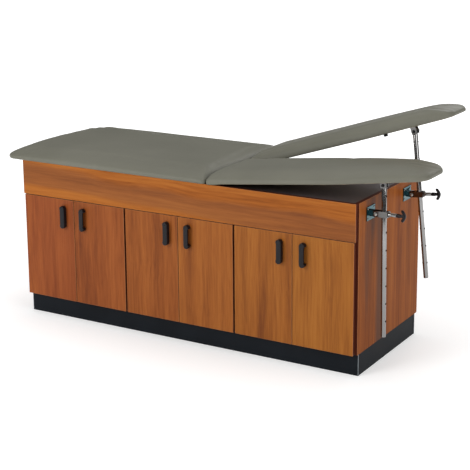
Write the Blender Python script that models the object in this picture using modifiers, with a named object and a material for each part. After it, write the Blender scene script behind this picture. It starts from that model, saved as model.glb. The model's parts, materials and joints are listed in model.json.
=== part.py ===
"""Split-leg treatment table: an upholstered top on a laminate cabinet with six doors. Metres, +Z up.

+X runs along the table to the foot end and +Y from the doors to the back. The origin is on the
floor, under the middle of the cabinet. "near" is the door side and "far" is the back side.
"""

import math

import bmesh
import bpy
from mathutils import Matrix, Vector

# Cabinet
DOOR_PITCH = 0.2794
DOOR_COUNT = 6
BOARD = 0.019
CABINET_DEPTH = 0.631
CABINET_TOP = 0.733
PLINTH_HEIGHT = 0.096
APRON_HEIGHT = 0.157
END_REVEAL = 0.012
APRON_OVERHANG = 0.006
PLINTH_FRONT_INSET = 0.037
PLINTH_BACK_INSET = 0.017
PLINTH_END_INSET = 0.004
PLINTH_BOARD = 0.016
BACK_BOARD = 0.006
DECK_DROP = 0.012
DECK_BOARD = 0.015
SHELF_BOARD = 0.015
SHELF_TOP = 0.352
DOOR_GAP_IN_PAIR = 0.003
DOOR_GAP_BETWEEN_PAIRS = 0.009
EDGE_ROUND = 0.0008
FIT = 0.0003

HALF_DOORS = DOOR_COUNT * DOOR_PITCH / 2
HALF_LENGTH = HALF_DOORS + END_REVEAL
INNER_HALF = HALF_LENGTH - BOARD - FIT
FRONT = -CABINET_DEPTH / 2
BACK = CABINET_DEPTH / 2
CARCASS_FRONT = FRONT + BOARD + FIT
CARCASS_BOTTOM = PLINTH_HEIGHT + FIT
APRON_BOTTOM = CABINET_TOP - APRON_HEIGHT
BACK_BOARD_FRONT = BACK - 0.012 - BACK_BOARD
PANEL_BACK = BACK_BOARD_FRONT - FIT
DECK_TOP = CABINET_TOP - DECK_DROP
DECK_BOTTOM = DECK_TOP - DECK_BOARD
FLOOR_PANEL_TOP = CARCASS_BOTTOM + BOARD

# Door pulls: a hood with a closed side towards the pair's middle and an open side for the fingers
PULL_HEIGHT = 0.105
PULL_WIDTH = 0.026
PULL_DEPTH = 0.022
PULL_WALL = 0.006
PULL_FACE = 0.006
PULL_FOOT = 0.016
PULL_RECESS = 0.004
PULL_TOP = 0.546
PULL_FROM_EDGE = 0.053
PULL_ROUND = 0.003
CUT_SPARE = 0.010

# Upholstered top
PAD_WIDTH = 0.680
PAD_FRONT = FRONT - 0.008
PAD_MIDDLE = PAD_FRONT + PAD_WIDTH / 2
PAD_HEAD_X = -HALF_DOORS - 0.110
PAD_BOARD = 0.015
PAD_THICKNESS = 0.050
PAD_ROUND = 0.014
BOARD_INSET = 0.006
HEAD_CORNER = 0.060
SEAM_CORNER = 0.030
SEAM_GAP = 0.002
PAD_BOTTOM = CABINET_TOP + FIT

# Leg sections
HINGE_X = 0.1428
HINGE_RISE = 0.004
HINGE_Z = PAD_BOTTOM + HINGE_RISE
LEG_WIDTH = 0.335
LEG_LENGTH = 0.980
LEG_TAPER_START = 0.610
LEG_FOOT_WIDTH = 0.215
LEG_FOOT_CORNER = 0.060
LEG_LIFT_MAX = 41.0
BUMPER_REACH = 0.6975
BUMPER_RADIUS = 0.009
BUMPER_DROP = 0.009
BUMPER_FROM_EDGE = 0.018
LEG_REST = {"near": 6.5, "far": 18.0}
LEG_MIDDLE = {"near": PAD_FRONT + LEG_WIDTH / 2, "far": PAD_FRONT + PAD_WIDTH - LEG_WIDTH / 2}

# Leg hinges
LEAF_THICKNESS = 0.0025
LEAF_WIDTH = 0.045
LEAF_LENGTH = 0.200
KNUCKLE_RADIUS = 0.0065
HINGE_PIN_RADIUS = 0.003
KNUCKLES = 5

# Struts: a perforated tube that hangs from a clevis and slides through a guide on the end panel
TUBE_RADIUS = 0.0105
TUBE_WALL = 0.0016
TUBE_LENGTH = 0.638
TUBE_EYE = 0.013
HOLE_COUNT = 8
HOLE_PITCH = 0.075
HOLE_RADIUS = 0.0042
LOWEST_HOLE = 0.067
STRUT_Y = {"near": -0.1935, "far": 0.1720}
CLEVIS_REACH = 0.7686
CLEVIS_DROP = 0.0295
CLEVIS_EAR = 0.003
BOLT_RADIUS = 0.004
BOLT_PLAY = 0.0003
GUIDE_X = HALF_LENGTH + 0.029
GUIDE_Z = 0.674
GUIDE_OFFSET = 0.032
GUIDE_PLAY = 0.0034
CHEEK = 0.003
CHEEK_INSIDE = TUBE_RADIUS + 0.0012
YOKE_HEIGHT = 0.024
YOKE_END = GUIDE_OFFSET + TUBE_RADIUS + GUIDE_PLAY
YOKE_END_WALL = 0.006
FLANGE_WIDTH = 0.076
FLANGE_HEIGHT = 0.057
FLANGE_THICKNESS = 0.0035
BARREL_LENGTH = 0.032
BARREL_RADIUS = 0.0078
ROD_RADIUS = 0.004
HANDLE_NECK = 0.024
HANDLE_SPAN = 0.056
HANDLE_SWEEP = 0.016
HANDLE_RADIUS = 0.0052


def clear_scene():
    for obj in list(bpy.data.objects):
        bpy.data.objects.remove(obj, do_unlink=True)


def make_collection(name):
    made = bpy.data.collections.new(name)
    bpy.context.scene.collection.children.link(made)
    return made


def make_material(name, colour, roughness, metallic=0.0):
    made = bpy.data.materials.new(name)
    made.use_nodes = True
    shader = made.node_tree.nodes["Principled BSDF"]
    shader.inputs["Base Color"].default_value = (*colour, 1.0)
    shader.inputs["Roughness"].default_value = roughness
    shader.inputs["Metallic"].default_value = metallic
    return made


clear_scene()
PARTS = make_collection("treatment_table")
CUTTERS = make_collection("cutters")

LAMINATE = make_material("cherry_laminate", (0.36, 0.115, 0.032), 0.38)
PLINTH_BLACK = make_material("plinth_black", (0.012, 0.012, 0.014), 0.45)
DECK_GREY = make_material("deck_grey", (0.045, 0.047, 0.050), 0.6)
INTERIOR = make_material("interior_board", (0.55, 0.50, 0.42), 0.55)
PLYWOOD = make_material("pad_board", (0.30, 0.20, 0.11), 0.7)
VINYL = make_material("grey_vinyl", (0.165, 0.162, 0.135), 0.5)
PLASTIC = make_material("black_plastic", (0.012, 0.012, 0.013), 0.35)
RUBBER = make_material("rubber", (0.015, 0.015, 0.015), 0.8)
CHROME = make_material("chrome", (0.78, 0.79, 0.80), 0.12, 1.0)
STEEL = make_material("zinc_steel", (0.60, 0.60, 0.58), 0.35, 1.0)


def add_object(name, mesh, material, parent=None, location=(0, 0, 0), rotation=None):
    """A mesh as an object. With no material it is a cutter."""
    obj = bpy.data.objects.new(name, mesh)
    if material:
        PARTS.objects.link(obj)
        mesh.materials.append(material)
    else:
        CUTTERS.objects.link(obj)
        obj.hide_render = True
        obj.display_type = "WIRE"
    obj.parent = parent
    obj.location = location
    if rotation:
        obj.rotation_euler = rotation
    return obj


def add_bevel(obj, width, segments=1):
    bevel = obj.modifiers.new("round", "BEVEL")
    bevel.width = width
    bevel.segments = segments
    bevel.limit_method = "ANGLE"
    bevel.angle_limit = math.radians(40)


def box(name, low, high, material, parent=None, bevel=EDGE_ROUND, rotation=None):
    """A box between two corners. Its object sits at the middle of the box."""
    low, high = Vector(low), Vector(high)
    mesh = bpy.data.meshes.new(name)
    shape = bmesh.new()
    bmesh.ops.create_cube(shape, size=1.0, matrix=Matrix.Diagonal((*(high - low), 1.0)))
    shape.to_mesh(mesh)
    shape.free()
    obj = add_object(name, mesh, material, parent, (low + high) / 2, rotation)
    if material and bevel:
        add_bevel(obj, bevel)
    return obj


AXIS_TURN = {
    "x": Matrix.Rotation(math.pi / 2, 4, "Y"),
    "y": Matrix.Rotation(-math.pi / 2, 4, "X"),
    "z": Matrix.Identity(4),
}


def cylinder(name, radius, start, end, axis, centre, material, parent=None, segments=20):
    """A cylinder along one axis from start to end; centre holds its place, less that coordinate."""
    mesh = bpy.data.meshes.new(name)
    shape = bmesh.new()
    turn = AXIS_TURN[axis]
    bmesh.ops.create_cone(
        shape,
        cap_ends=True,
        segments=segments,
        radius1=radius,
        radius2=radius,
        depth=end - start,
        matrix=turn,
    )
    shape.to_mesh(mesh)
    shape.free()
    mesh.shade_smooth()
    mesh.set_sharp_from_angle(angle=math.radians(40))
    place = list(centre)
    place["xyz".index(axis)] = (start + end) / 2
    return add_object(name, mesh, material, parent, place)


def turned(name, profile, axis, location, material, parent=None, steps=20):
    """A round piece from (radius, height) points that run down its outer side, along an axis."""
    mesh = bpy.data.meshes.new(name)
    shape = bmesh.new()
    verts = [shape.verts.new((radius, 0.0, height)) for radius, height in profile]
    edges = list(zip(verts, verts[1:]))
    if profile[0][0] > 0 and profile[-1][0] > 0:
        edges.append((verts[-1], verts[0]))
    for pair in edges:
        shape.edges.new(pair)
    shape.to_mesh(mesh)
    shape.free()
    obj = add_object(name, mesh, material, parent, location, AXIS_TURN[axis].to_euler())
    screw = obj.modifiers.new("turn", "SCREW")
    screw.steps = steps
    screw.render_steps = steps
    screw.use_merge_vertices = True
    screw.merge_threshold = 0.0001
    screw.use_smooth_shade = True
    return obj


def combine(obj, other, operation):
    modifier = obj.modifiers.new(other.name, "BOOLEAN")
    modifier.object = other
    modifier.operation = operation
    modifier.solver = "EXACT"


def cut(obj, *cutters):
    for cutter in cutters:
        combine(obj, cutter, "DIFFERENCE")


def arc(centre, radius, start, end, count=6):
    """Points on an arc, angles in degrees."""
    step = (end - start) / count
    angles = [math.radians(start + step * i) for i in range(count + 1)]
    return [(centre[0] + radius * math.cos(a), centre[1] + radius * math.sin(a)) for a in angles]


def rounded_corner(before, corner, after, radius, count=5):
    """The points of an outline's corner, rounded to the radius."""
    to_before = (before - corner).normalized()
    to_after = (after - corner).normalized()
    half = to_before.angle(to_after) / 2
    centre = corner + (to_before + to_after).normalized() * radius / math.sin(half)
    first = (corner + to_before * radius / math.tan(half) - centre).normalized()
    last = (corner + to_after * radius / math.tan(half) - centre).normalized()
    return [centre + radius * first.slerp(last, i / count) for i in range(count + 1)]


def rounded_outline(corners):
    """A closed outline from (x, y, radius) corners."""
    points = []
    for i, (x, y, radius) in enumerate(corners):
        before = Vector(corners[i - 1][:2])
        after = Vector(corners[(i + 1) % len(corners)][:2])
        points += rounded_corner(before, Vector((x, y)), after, radius)
    return points


def slab(name, outline, bottom, top, material, parent=None, rounding=0.0, steps=2):
    """A flat outline given thickness, with its edges rounded inwards."""
    curve = bpy.data.curves.new(name, "CURVE")
    curve.dimensions = "2D"
    curve.fill_mode = "BOTH"
    curve.extrude = (top - bottom) / 2 - rounding
    curve.bevel_depth = rounding
    curve.bevel_resolution = steps
    curve.offset = -rounding
    spline = curve.splines.new("POLY")
    spline.points.add(len(outline) - 1)
    for point, (x, y) in zip(spline.points, outline):
        point.co = (x, y, 0.0, 1.0)
    spline.use_cyclic_u = True
    guide = bpy.data.objects.new(name + "_curve", curve)
    bpy.context.scene.collection.objects.link(guide)
    mesh = mesh_of(guide)
    mesh.name = name
    return add_object(name, mesh, material, parent, (0, 0, (bottom + top) / 2))


def mesh_of(guide):
    """The mesh of a curve object with its caps welded. The curve is removed."""
    bpy.context.view_layer.update()
    evaluated = guide.evaluated_get(bpy.context.evaluated_depsgraph_get())
    mesh = bpy.data.meshes.new_from_object(evaluated)
    shape = bmesh.new()
    shape.from_mesh(mesh)
    bmesh.ops.remove_doubles(shape, verts=shape.verts, dist=0.00001)
    bmesh.ops.recalc_face_normals(shape, faces=shape.faces)
    shape.to_mesh(mesh)
    shape.free()
    mesh.materials.clear()
    bpy.data.objects.remove(guide, do_unlink=True)
    return mesh


def pivot(name, location, lean=0.0):
    """An empty on a joint's axis. A positive lean turns +X towards +Z, in degrees."""
    empty = bpy.data.objects.new(name, None)
    PARTS.objects.link(empty)
    empty.location = location
    empty.rotation_euler = (0.0, -math.radians(lean), 0.0)
    return empty


def make_plinth():
    half = HALF_LENGTH - PLINTH_END_INSET
    front = FRONT + PLINTH_FRONT_INSET
    back = BACK - PLINTH_BACK_INSET
    inner_front = front + PLINTH_BOARD + FIT
    inner_back = back - PLINTH_BOARD - FIT
    box("plinth_front", (-half, front, 0), (half, front + PLINTH_BOARD, PLINTH_HEIGHT), PLINTH_BLACK)
    box("plinth_back", (-half, back - PLINTH_BOARD, 0), (half, back, PLINTH_HEIGHT), PLINTH_BLACK)
    for name, start in (
        ("plinth_left", -half),
        ("plinth_right", half - PLINTH_BOARD),
        ("plinth_centre_rail", -PLINTH_BOARD / 2),
    ):
        low = (start, inner_front, 0)
        box(name, low, (start + PLINTH_BOARD, inner_back, PLINTH_HEIGHT), PLINTH_BLACK)


def make_carcass():
    top = CABINET_TOP
    for name, side in (("end_panel_left", -1), ("end_panel_right", 1)):
        inner, outer = sorted((side * (HALF_LENGTH - BOARD), side * HALF_LENGTH))
        box(name, (inner, CARCASS_FRONT, CARCASS_BOTTOM), (outer, BACK, top), LAMINATE)
    box(
        "floor_panel",
        (-INNER_HALF, CARCASS_FRONT, CARCASS_BOTTOM),
        (INNER_HALF, PANEL_BACK, FLOOR_PANEL_TOP),
        INTERIOR,
    )
    for name, side in (("partition_left", -1), ("partition_right", 1)):
        middle = side * DOOR_PITCH
        low = (middle - BOARD / 2, CARCASS_FRONT, FLOOR_PANEL_TOP + FIT)
        box(name, low, (middle + BOARD / 2, PANEL_BACK, DECK_BOTTOM - FIT), INTERIOR)
    box(
        "back_panel",
        (-INNER_HALF, BACK_BOARD_FRONT, CARCASS_BOTTOM),
        (INNER_HALF, BACK_BOARD_FRONT + BACK_BOARD, top),
        LAMINATE,
    )
    box("top_deck", (-INNER_HALF, CARCASS_FRONT, DECK_BOTTOM), (INNER_HALF, PANEL_BACK, DECK_TOP), DECK_GREY)
    half = HALF_DOORS + APRON_OVERHANG
    box("apron", (-half, FRONT, APRON_BOTTOM), (half, FRONT + BOARD, top), LAMINATE)


def make_shelves():
    partition_face = DOOR_PITCH + BOARD / 2 + FIT
    inner_face = DOOR_PITCH - BOARD / 2 - FIT
    for name, start, end in (
        ("shelf_left", -INNER_HALF, -partition_face),
        ("shelf_middle", -inner_face, inner_face),
        ("shelf_right", partition_face, INNER_HALF),
    ):
        low = (start, CARCASS_FRONT + 0.020, SHELF_TOP - SHELF_BOARD)
        box(name, low, (end, PANEL_BACK, SHELF_TOP), INTERIOR)


def make_door(index):
    """A door and its pull. Even doors hinge at their left edge and odd ones at their right."""
    number = index + 1
    side = 1 if index % 2 == 0 else -1
    left = -HALF_DOORS + index * DOOR_PITCH
    hinge_edge = left if side == 1 else left + DOOR_PITCH
    at_cabinet_end = index in (0, DOOR_COUNT - 1)
    outer_gap = 0.0 if at_cabinet_end else DOOR_GAP_BETWEEN_PAIRS / 2
    axis_x = hinge_edge + side * outer_gap
    width = DOOR_PITCH - outer_gap - DOOR_GAP_IN_PAIR / 2
    hinge = pivot(f"door_{number}_hinge", (axis_x, FRONT, 0))
    low_x, high_x = sorted((0.0, side * width))
    bottom = CARCASS_BOTTOM
    top = APRON_BOTTOM - DOOR_GAP_IN_PAIR
    box(f"door_{number}", (low_x, 0, bottom), (high_x, BOARD, top), LAMINATE, hinge)
    make_pull(f"door_pull_{number}", side * (width - PULL_FROM_EDGE), side, hinge)


def make_pull(name, middle_x, side, hinge):
    """The closed wall faces the meeting doors (side 1 is +X) and the fingers reach in from the other."""
    half = PULL_WIDTH / 2
    bottom = PULL_TOP - PULL_HEIGHT
    outline = arc((0, PULL_HEIGHT / 2 - half), half, 0, 180)
    outline += arc((0, half - PULL_HEIGHT / 2), half, 180, 360)
    hood = slab(name, outline, FIT, PULL_DEPTH, PLASTIC, hinge, rounding=PULL_ROUND)
    hood.location = (middle_x, -(FIT + PULL_DEPTH) / 2, bottom + PULL_HEIGHT / 2)
    hood.rotation_euler = (math.pi / 2, 0, 0)
    beyond = middle_x - side * PULL_WIDTH
    for label, edge, front in (
        ("hollow", half - PULL_WALL, -PULL_DEPTH + PULL_FACE),
        ("recess", PULL_RECESS - half, -PULL_DEPTH - CUT_SPARE),
    ):
        low_x, high_x = sorted((middle_x + side * edge, beyond))
        low = (low_x, front, bottom + PULL_FOOT)
        high = (high_x, CUT_SPARE, PULL_TOP - PULL_FOOT)
        cut(hood, box(f"{name}_{label}", low, high, None, hinge))


def seam_cutter(name, side, parent):
    """A block whose face leans away from the leg hinge, so that the raised pads clear each other."""
    lean = math.radians(LEG_LIFT_MAX / 2 + 0.5)
    depth = 0.080
    turn = Matrix.Rotation(side * lean, 4, "Y")
    middle = turn @ Vector((-side * depth / 2 + side * SEAM_GAP, 0, 0))
    low = middle - Vector((depth / 2, PAD_WIDTH, depth))
    high = middle + Vector((depth / 2, PAD_WIDTH, depth))
    return box(name, low, high, None, parent, rotation=(0, side * lean, 0))


def make_main_pad():
    head = PAD_HEAD_X
    seam = HINGE_X - SEAM_GAP
    near, far = PAD_FRONT, PAD_FRONT + PAD_WIDTH

    def corners(inset, seam_x):
        return [
            (head + inset, near + inset, HEAD_CORNER - inset),
            (seam_x, near + inset, SEAM_CORNER - inset),
            (seam_x, far - inset, SEAM_CORNER - inset),
            (head + inset, far - inset, HEAD_CORNER - inset),
        ]

    board_end = HINGE_X - KNUCKLE_RADIUS - 0.002
    board_top = PAD_BOTTOM + PAD_BOARD
    outline = rounded_outline(corners(BOARD_INSET, board_end))
    slab("main_pad_board", outline, PAD_BOTTOM, board_top, PLYWOOD)
    outline = rounded_outline(corners(0.0, seam))
    cushion = slab(
        "main_cushion", outline, board_top + FIT, PAD_BOTTOM + PAD_THICKNESS, VINYL, rounding=PAD_ROUND
    )
    axis = pivot("main_pad_seam", (HINGE_X, PAD_MIDDLE, HINGE_Z))
    cut(cushion, seam_cutter("main_seam_cutter", -1, axis))


def leg_corners(inset, root_x):
    half = LEG_WIDTH / 2 - inset
    foot_half = LEG_FOOT_WIDTH / 2 - inset
    foot_x = LEG_LENGTH - inset
    return [
        (root_x, -half, SEAM_CORNER - inset),
        (LEG_TAPER_START, -half, 0.300),
        (foot_x, -foot_half, LEG_FOOT_CORNER - inset),
        (foot_x, foot_half, LEG_FOOT_CORNER - inset),
        (LEG_TAPER_START, half, 0.300),
        (root_x, half, SEAM_CORNER - inset),
    ]


def make_leg(side):
    """A leg section, built flat in the frame of its hinge and lifted by the hinge's empty."""
    hinge = pivot(f"leg_{side}_hinge", (HINGE_X, LEG_MIDDLE[side], HINGE_Z), LEG_REST[side])
    bottom = -HINGE_RISE
    board_top = bottom + PAD_BOARD
    outline = rounded_outline(leg_corners(BOARD_INSET, KNUCKLE_RADIUS + 0.002))
    slab(f"leg_board_{side}", outline, bottom, board_top, PLYWOOD, hinge)
    outline = rounded_outline(leg_corners(0.0, SEAM_GAP))
    cushion = slab(
        f"leg_cushion_{side}", outline, board_top + FIT, bottom + PAD_THICKNESS, VINYL, hinge, PAD_ROUND
    )
    cut(cushion, seam_cutter(f"leg_seam_cutter_{side}", 1, hinge))
    inward = 1 if side == "near" else -1
    turned(
        f"leg_bumper_{side}",
        [
            (0, bottom - FIT),
            (BUMPER_RADIUS, bottom - FIT),
            (BUMPER_RADIUS, bottom - BUMPER_DROP + 0.002),
            (BUMPER_RADIUS - 0.002, bottom - BUMPER_DROP),
            (0, bottom - BUMPER_DROP),
        ],
        "z",
        (BUMPER_REACH, inward * (LEG_WIDTH / 2 - BUMPER_FROM_EDGE), 0),
        RUBBER,
        hinge,
        steps=16,
    )
    make_hinge(side, hinge)
    make_clevis(side, hinge, STRUT_Y[side] - LEG_MIDDLE[side])


def make_hinge(side, hinge):
    """A butt hinge: one leaf under the main board, one under the leg board, and the pin."""
    fixed_frame = pivot(f"leaf_fixed_{side}_frame", (HINGE_X, LEG_MIDDLE[side], HINGE_Z))
    for name, parent, direction, first in (
        (f"hinge_leaf_fixed_{side}", fixed_frame, -1, 0),
        (f"hinge_leaf_moving_{side}", hinge, 1, 1),
    ):
        make_leaf(name, parent, direction, first)
    reach = LEAF_LENGTH / 2 + 0.003
    cylinder(f"hinge_pin_{side}", HINGE_PIN_RADIUS, -reach, reach, "y", (0, 0, 0), STEEL, fixed_frame, 16)


def make_leaf(name, parent, direction, first):
    top = -HINGE_RISE - FIT
    near_x = direction * 0.003
    far_x = direction * LEAF_WIDTH
    low_x, high_x = sorted((near_x, far_x))
    half = LEAF_LENGTH / 2
    leaf = box(name, (low_x, -half, top - LEAF_THICKNESS), (high_x, half, top), STEEL, parent, bevel=0)
    knuckle = LEAF_LENGTH / KNUCKLES
    for i in range(KNUCKLES):
        start = -half + i * knuckle
        label = f"{name}_knuckle_{i}"
        if i % 2 == first:
            roll = cylinder(
                label, KNUCKLE_RADIUS, start + FIT, start + knuckle - FIT, "y", (0, 0, 0), None, parent, 16
            )
            combine(leaf, roll, "UNION")
        else:
            gap = KNUCKLE_RADIUS + 0.001
            notch = box(label, (-gap, start - FIT, -0.02), (gap, start + knuckle + FIT, 0.02), None, parent)
            cut(leaf, notch)
    reach = half + CUT_SPARE
    bore = cylinder(
        f"{name}_bore", HINGE_PIN_RADIUS + FIT, -reach, reach, "y", (0, 0, 0), None, parent, 16
    )
    cut(leaf, bore)


def make_clevis(side, hinge, middle_y):
    """A chromed U bracket under the leg board, and the bolt that the strut hangs from."""
    top = -HINGE_RISE - FIT
    outside = TUBE_RADIUS + 0.001 + CLEVIS_EAR
    inside = TUBE_RADIUS + 0.001
    half = 0.012
    bottom = -CLEVIS_DROP - half
    x = CLEVIS_REACH
    low = (x - half, middle_y - outside, bottom)
    high = (x + half, middle_y + outside, top)
    clevis = box(f"clevis_{side}", low, high, CHROME, hinge, 0)
    channel = box(
        f"clevis_channel_{side}",
        (x - 0.04, middle_y - inside, bottom - 0.02),
        (x + 0.04, middle_y + inside, top - CLEVIS_EAR),
        None,
        hinge,
    )
    foot = box(
        f"clevis_foot_{side}",
        (x - 0.024, middle_y - outside - 0.006, top - CLEVIS_EAR),
        (x + 0.024, middle_y + outside + 0.006, top),
        None,
        hinge,
    )
    bore = cylinder(
        f"clevis_bore_{side}",
        BOLT_RADIUS + BOLT_PLAY,
        middle_y - 0.05,
        middle_y + 0.05,
        "y",
        (x, 0, -CLEVIS_DROP),
        None,
        hinge,
        16,
    )
    cut(clevis, channel)
    combine(clevis, foot, "UNION")
    cut(clevis, bore)
    head = outside + FIT
    turned(
        f"clevis_bolt_{side}",
        [
            (0, head + 0.012),
            (0.0085, head + 0.012),
            (0.010, head + 0.010),
            (0.010, head + 0.002),
            (0.008, head),
            (BOLT_RADIUS, head),
            (BOLT_RADIUS, -head),
            (0.007, -head),
            (0.006, -head - 0.004),
            (0, -head - 0.0045),
        ],
        "y",
        (x, middle_y, -CLEVIS_DROP),
        PLASTIC,
        hinge,
        16,
    )


def clevis_place(side):
    """Where the strut's bolt is with the leg at rest."""
    lift = math.radians(LEG_REST[side])
    x = HINGE_X + CLEVIS_REACH * math.cos(lift) + CLEVIS_DROP * math.sin(lift)
    z = HINGE_Z + CLEVIS_REACH * math.sin(lift) - CLEVIS_DROP * math.cos(lift)
    return x, z


def strut_lean(side):
    """Degrees that the tube leans to the head end, so that it passes the guide's pivot at its offset."""
    x, z = clevis_place(side)
    across, up = x - GUIDE_X, z - GUIDE_Z
    return math.degrees(math.asin(GUIDE_OFFSET / math.hypot(across, up)) - math.atan2(across, up))


def make_strut(side):
    x, z = clevis_place(side)
    frame = pivot(f"strut_{side}_pivot", (x, STRUT_Y[side], z), strut_lean(side))
    bore = TUBE_RADIUS - TUBE_WALL
    crown = TUBE_RADIUS - 0.004
    tube = turned(
        f"strut_tube_{side}",
        [
            (0, TUBE_EYE),
            (crown, TUBE_EYE),
            (TUBE_RADIUS, TUBE_EYE - 0.004),
            (TUBE_RADIUS, -TUBE_LENGTH),
            (bore, -TUBE_LENGTH),
            (bore, -TUBE_EYE),
            (0, -TUBE_EYE),
        ],
        "z",
        (0, 0, 0),
        CHROME,
        frame,
        24,
    )
    eye = cylinder(
        f"strut_eye_{side}", BOLT_RADIUS + BOLT_PLAY, -0.03, 0.03, "y", (0, 0, 0), None, frame, 16
    )
    cut(tube, eye)
    for i in range(HOLE_COUNT):
        height = -TUBE_LENGTH + LOWEST_HOLE + i * HOLE_PITCH
        hole = cylinder(
            f"strut_hole_{side}_{i + 1}", HOLE_RADIUS, 0.002, 0.03, "x", (0, 0, height), None, frame, 12
        )
        cut(tube, hole)


def make_bracket(side):
    """The flange on the end panel with two ears, and the bolt that the guide turns on."""
    y = STRUT_Y[side]
    start = HALF_LENGTH + FIT
    ear_out = CHEEK_INSIDE - 0.0005
    ear_in = ear_out - CHEEK
    half_ear = YOKE_HEIGHT / 2
    flange = box(
        f"guide_bracket_{side}",
        (start, y - FLANGE_WIDTH / 2, GUIDE_Z - FLANGE_HEIGHT / 2),
        (start + FLANGE_THICKNESS, y + FLANGE_WIDTH / 2, GUIDE_Z + FLANGE_HEIGHT / 2),
        CHROME,
        bevel=0,
    )
    ears = box(
        f"bracket_ears_{side}",
        (start + FLANGE_THICKNESS / 2, y - ear_out, GUIDE_Z - half_ear),
        (GUIDE_X + 0.008, y + ear_out, GUIDE_Z + half_ear),
        None,
    )
    between = box(
        f"bracket_between_{side}",
        (start + FLANGE_THICKNESS, y - ear_in, GUIDE_Z - 0.03),
        (GUIDE_X + 0.03, y + ear_in, GUIDE_Z + 0.03),
        None,
    )
    bore = cylinder(
        f"bracket_bore_{side}",
        BOLT_RADIUS + BOLT_PLAY,
        y - 0.03,
        y + 0.03,
        "y",
        (GUIDE_X, 0, GUIDE_Z),
        None,
        segments=16,
    )
    combine(flange, ears, "UNION")
    cut(flange, between, bore)
    head = CHEEK_INSIDE + CHEEK + FIT
    turned(
        f"guide_bolt_{side}",
        [
            (0, head + 0.004),
            (0.0065, head + 0.004),
            (0.007, head),
            (BOLT_RADIUS, head),
            (BOLT_RADIUS, -head),
            (0.008, -head),
            (0.0075, -head - 0.003),
            (0.004, -head - 0.005),
            (0, -head - 0.005),
        ],
        "y",
        (GUIDE_X, y, GUIDE_Z),
        STEEL,
        steps=16,
    )


def make_guide(side):
    """The yoke that turns with the strut, with the plunger screwed into its outer end."""
    frame = pivot(f"guide_{side}_pivot", (GUIDE_X, STRUT_Y[side], GUIDE_Z), strut_lean(side))
    outside = CHEEK_INSIDE + CHEEK
    half = YOKE_HEIGHT / 2
    end = YOKE_END + YOKE_END_WALL
    window_start = GUIDE_OFFSET - TUBE_RADIUS - GUIDE_PLAY
    yoke = box(f"guide_yoke_{side}", (-0.009, -outside, -half), (end, outside, half), CHROME, frame, 0)
    window = box(
        f"yoke_window_{side}",
        (window_start, -CHEEK_INSIDE, -0.03),
        (YOKE_END, CHEEK_INSIDE, 0.03),
        None,
        frame,
    )
    slot = box(
        f"yoke_slot_{side}",
        (-0.03, -CHEEK_INSIDE, -0.03),
        (window_start - 0.004, CHEEK_INSIDE, 0.03),
        None,
        frame,
    )
    pivot_bore = cylinder(
        f"yoke_bore_{side}", BOLT_RADIUS + BOLT_PLAY, -0.03, 0.03, "y", (0, 0, 0), None, frame, 16
    )
    rod_bore = cylinder(
        f"yoke_rod_bore_{side}", ROD_RADIUS + FIT, GUIDE_OFFSET, end + 0.01, "x", (0, 0, 0), None, frame, 16
    )
    cut(yoke, window, slot, pivot_bore, rod_bore)
    make_plunger(side, frame, end + FIT)


def make_plunger(side, frame, start):
    """A fixed barrel, and the rod and handle that are drawn along it against a spring."""
    end = start + BARREL_LENGTH
    bore = ROD_RADIUS + FIT
    turned(
        f"plunger_barrel_{side}",
        [
            (bore, BARREL_LENGTH),
            (BARREL_RADIUS - 0.001, BARREL_LENGTH),
            (BARREL_RADIUS, BARREL_LENGTH - 0.001),
            (BARREL_RADIUS, 0.006),
            (BARREL_RADIUS + 0.002, 0.006),
            (BARREL_RADIUS + 0.002, 0.0),
            (bore, 0.0),
        ],
        "x",
        (start, 0, 0),
        CHROME,
        frame,
    )
    cylinder(f"plunger_rod_{side}", ROD_RADIUS, YOKE_END + FIT, end, "x", (0, 0, 0), STEEL, frame, 16)
    make_handle(side, frame, end + FIT)


def make_handle(side, frame, start):
    """A T handle: a round neck and a crescent bar with its tips swept back to the barrel."""
    mid_x = start + HANDLE_NECK + HANDLE_SWEEP - HANDLE_RADIUS
    half_span = HANDLE_SPAN / 2 - HANDLE_RADIUS
    radius = (half_span**2 + HANDLE_SWEEP**2) / (2 * HANDLE_SWEEP)
    sweep = math.asin(half_span / radius)
    curve = bpy.data.curves.new(f"handle_bar_{side}", "CURVE")
    curve.dimensions = "3D"
    curve.bevel_depth = HANDLE_RADIUS
    curve.bevel_resolution = 2
    curve.use_fill_caps = True
    spline = curve.splines.new("POLY")
    count = 9
    spline.points.add(count - 1)
    for i, point in enumerate(spline.points):
        angle = sweep * (2 * i / (count - 1) - 1)
        point.co = (mid_x - radius + radius * math.cos(angle), 0, radius * math.sin(angle), 1)
        point.radius = 1.0 - 0.35 * abs(2 * i / (count - 1) - 1) ** 2
    guide = bpy.data.objects.new(f"handle_bar_{side}", curve)
    bpy.context.scene.collection.objects.link(guide)
    mesh = mesh_of(guide)
    mesh.shade_smooth()
    handle = add_object(f"plunger_handle_{side}", mesh, PLASTIC, frame)
    neck = cylinder(f"handle_neck_{side}", 0.0055, start, mid_x, "x", (0, 0, 0), None, frame, 16)
    combine(handle, neck, "UNION")


make_plinth()
make_carcass()
make_shelves()
for door_index in range(DOOR_COUNT):
    make_door(door_index)
make_main_pad()
for leg_side in ("near", "far"):
    make_leg(leg_side)
    make_strut(leg_side)
    make_bracket(leg_side)
    make_guide(leg_side)
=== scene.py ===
"""The looks of the split-leg treatment table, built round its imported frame. Metres, +Z up."""

import json
import math

import bmesh
import bpy
from mathutils import Matrix, Vector, noise


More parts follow.
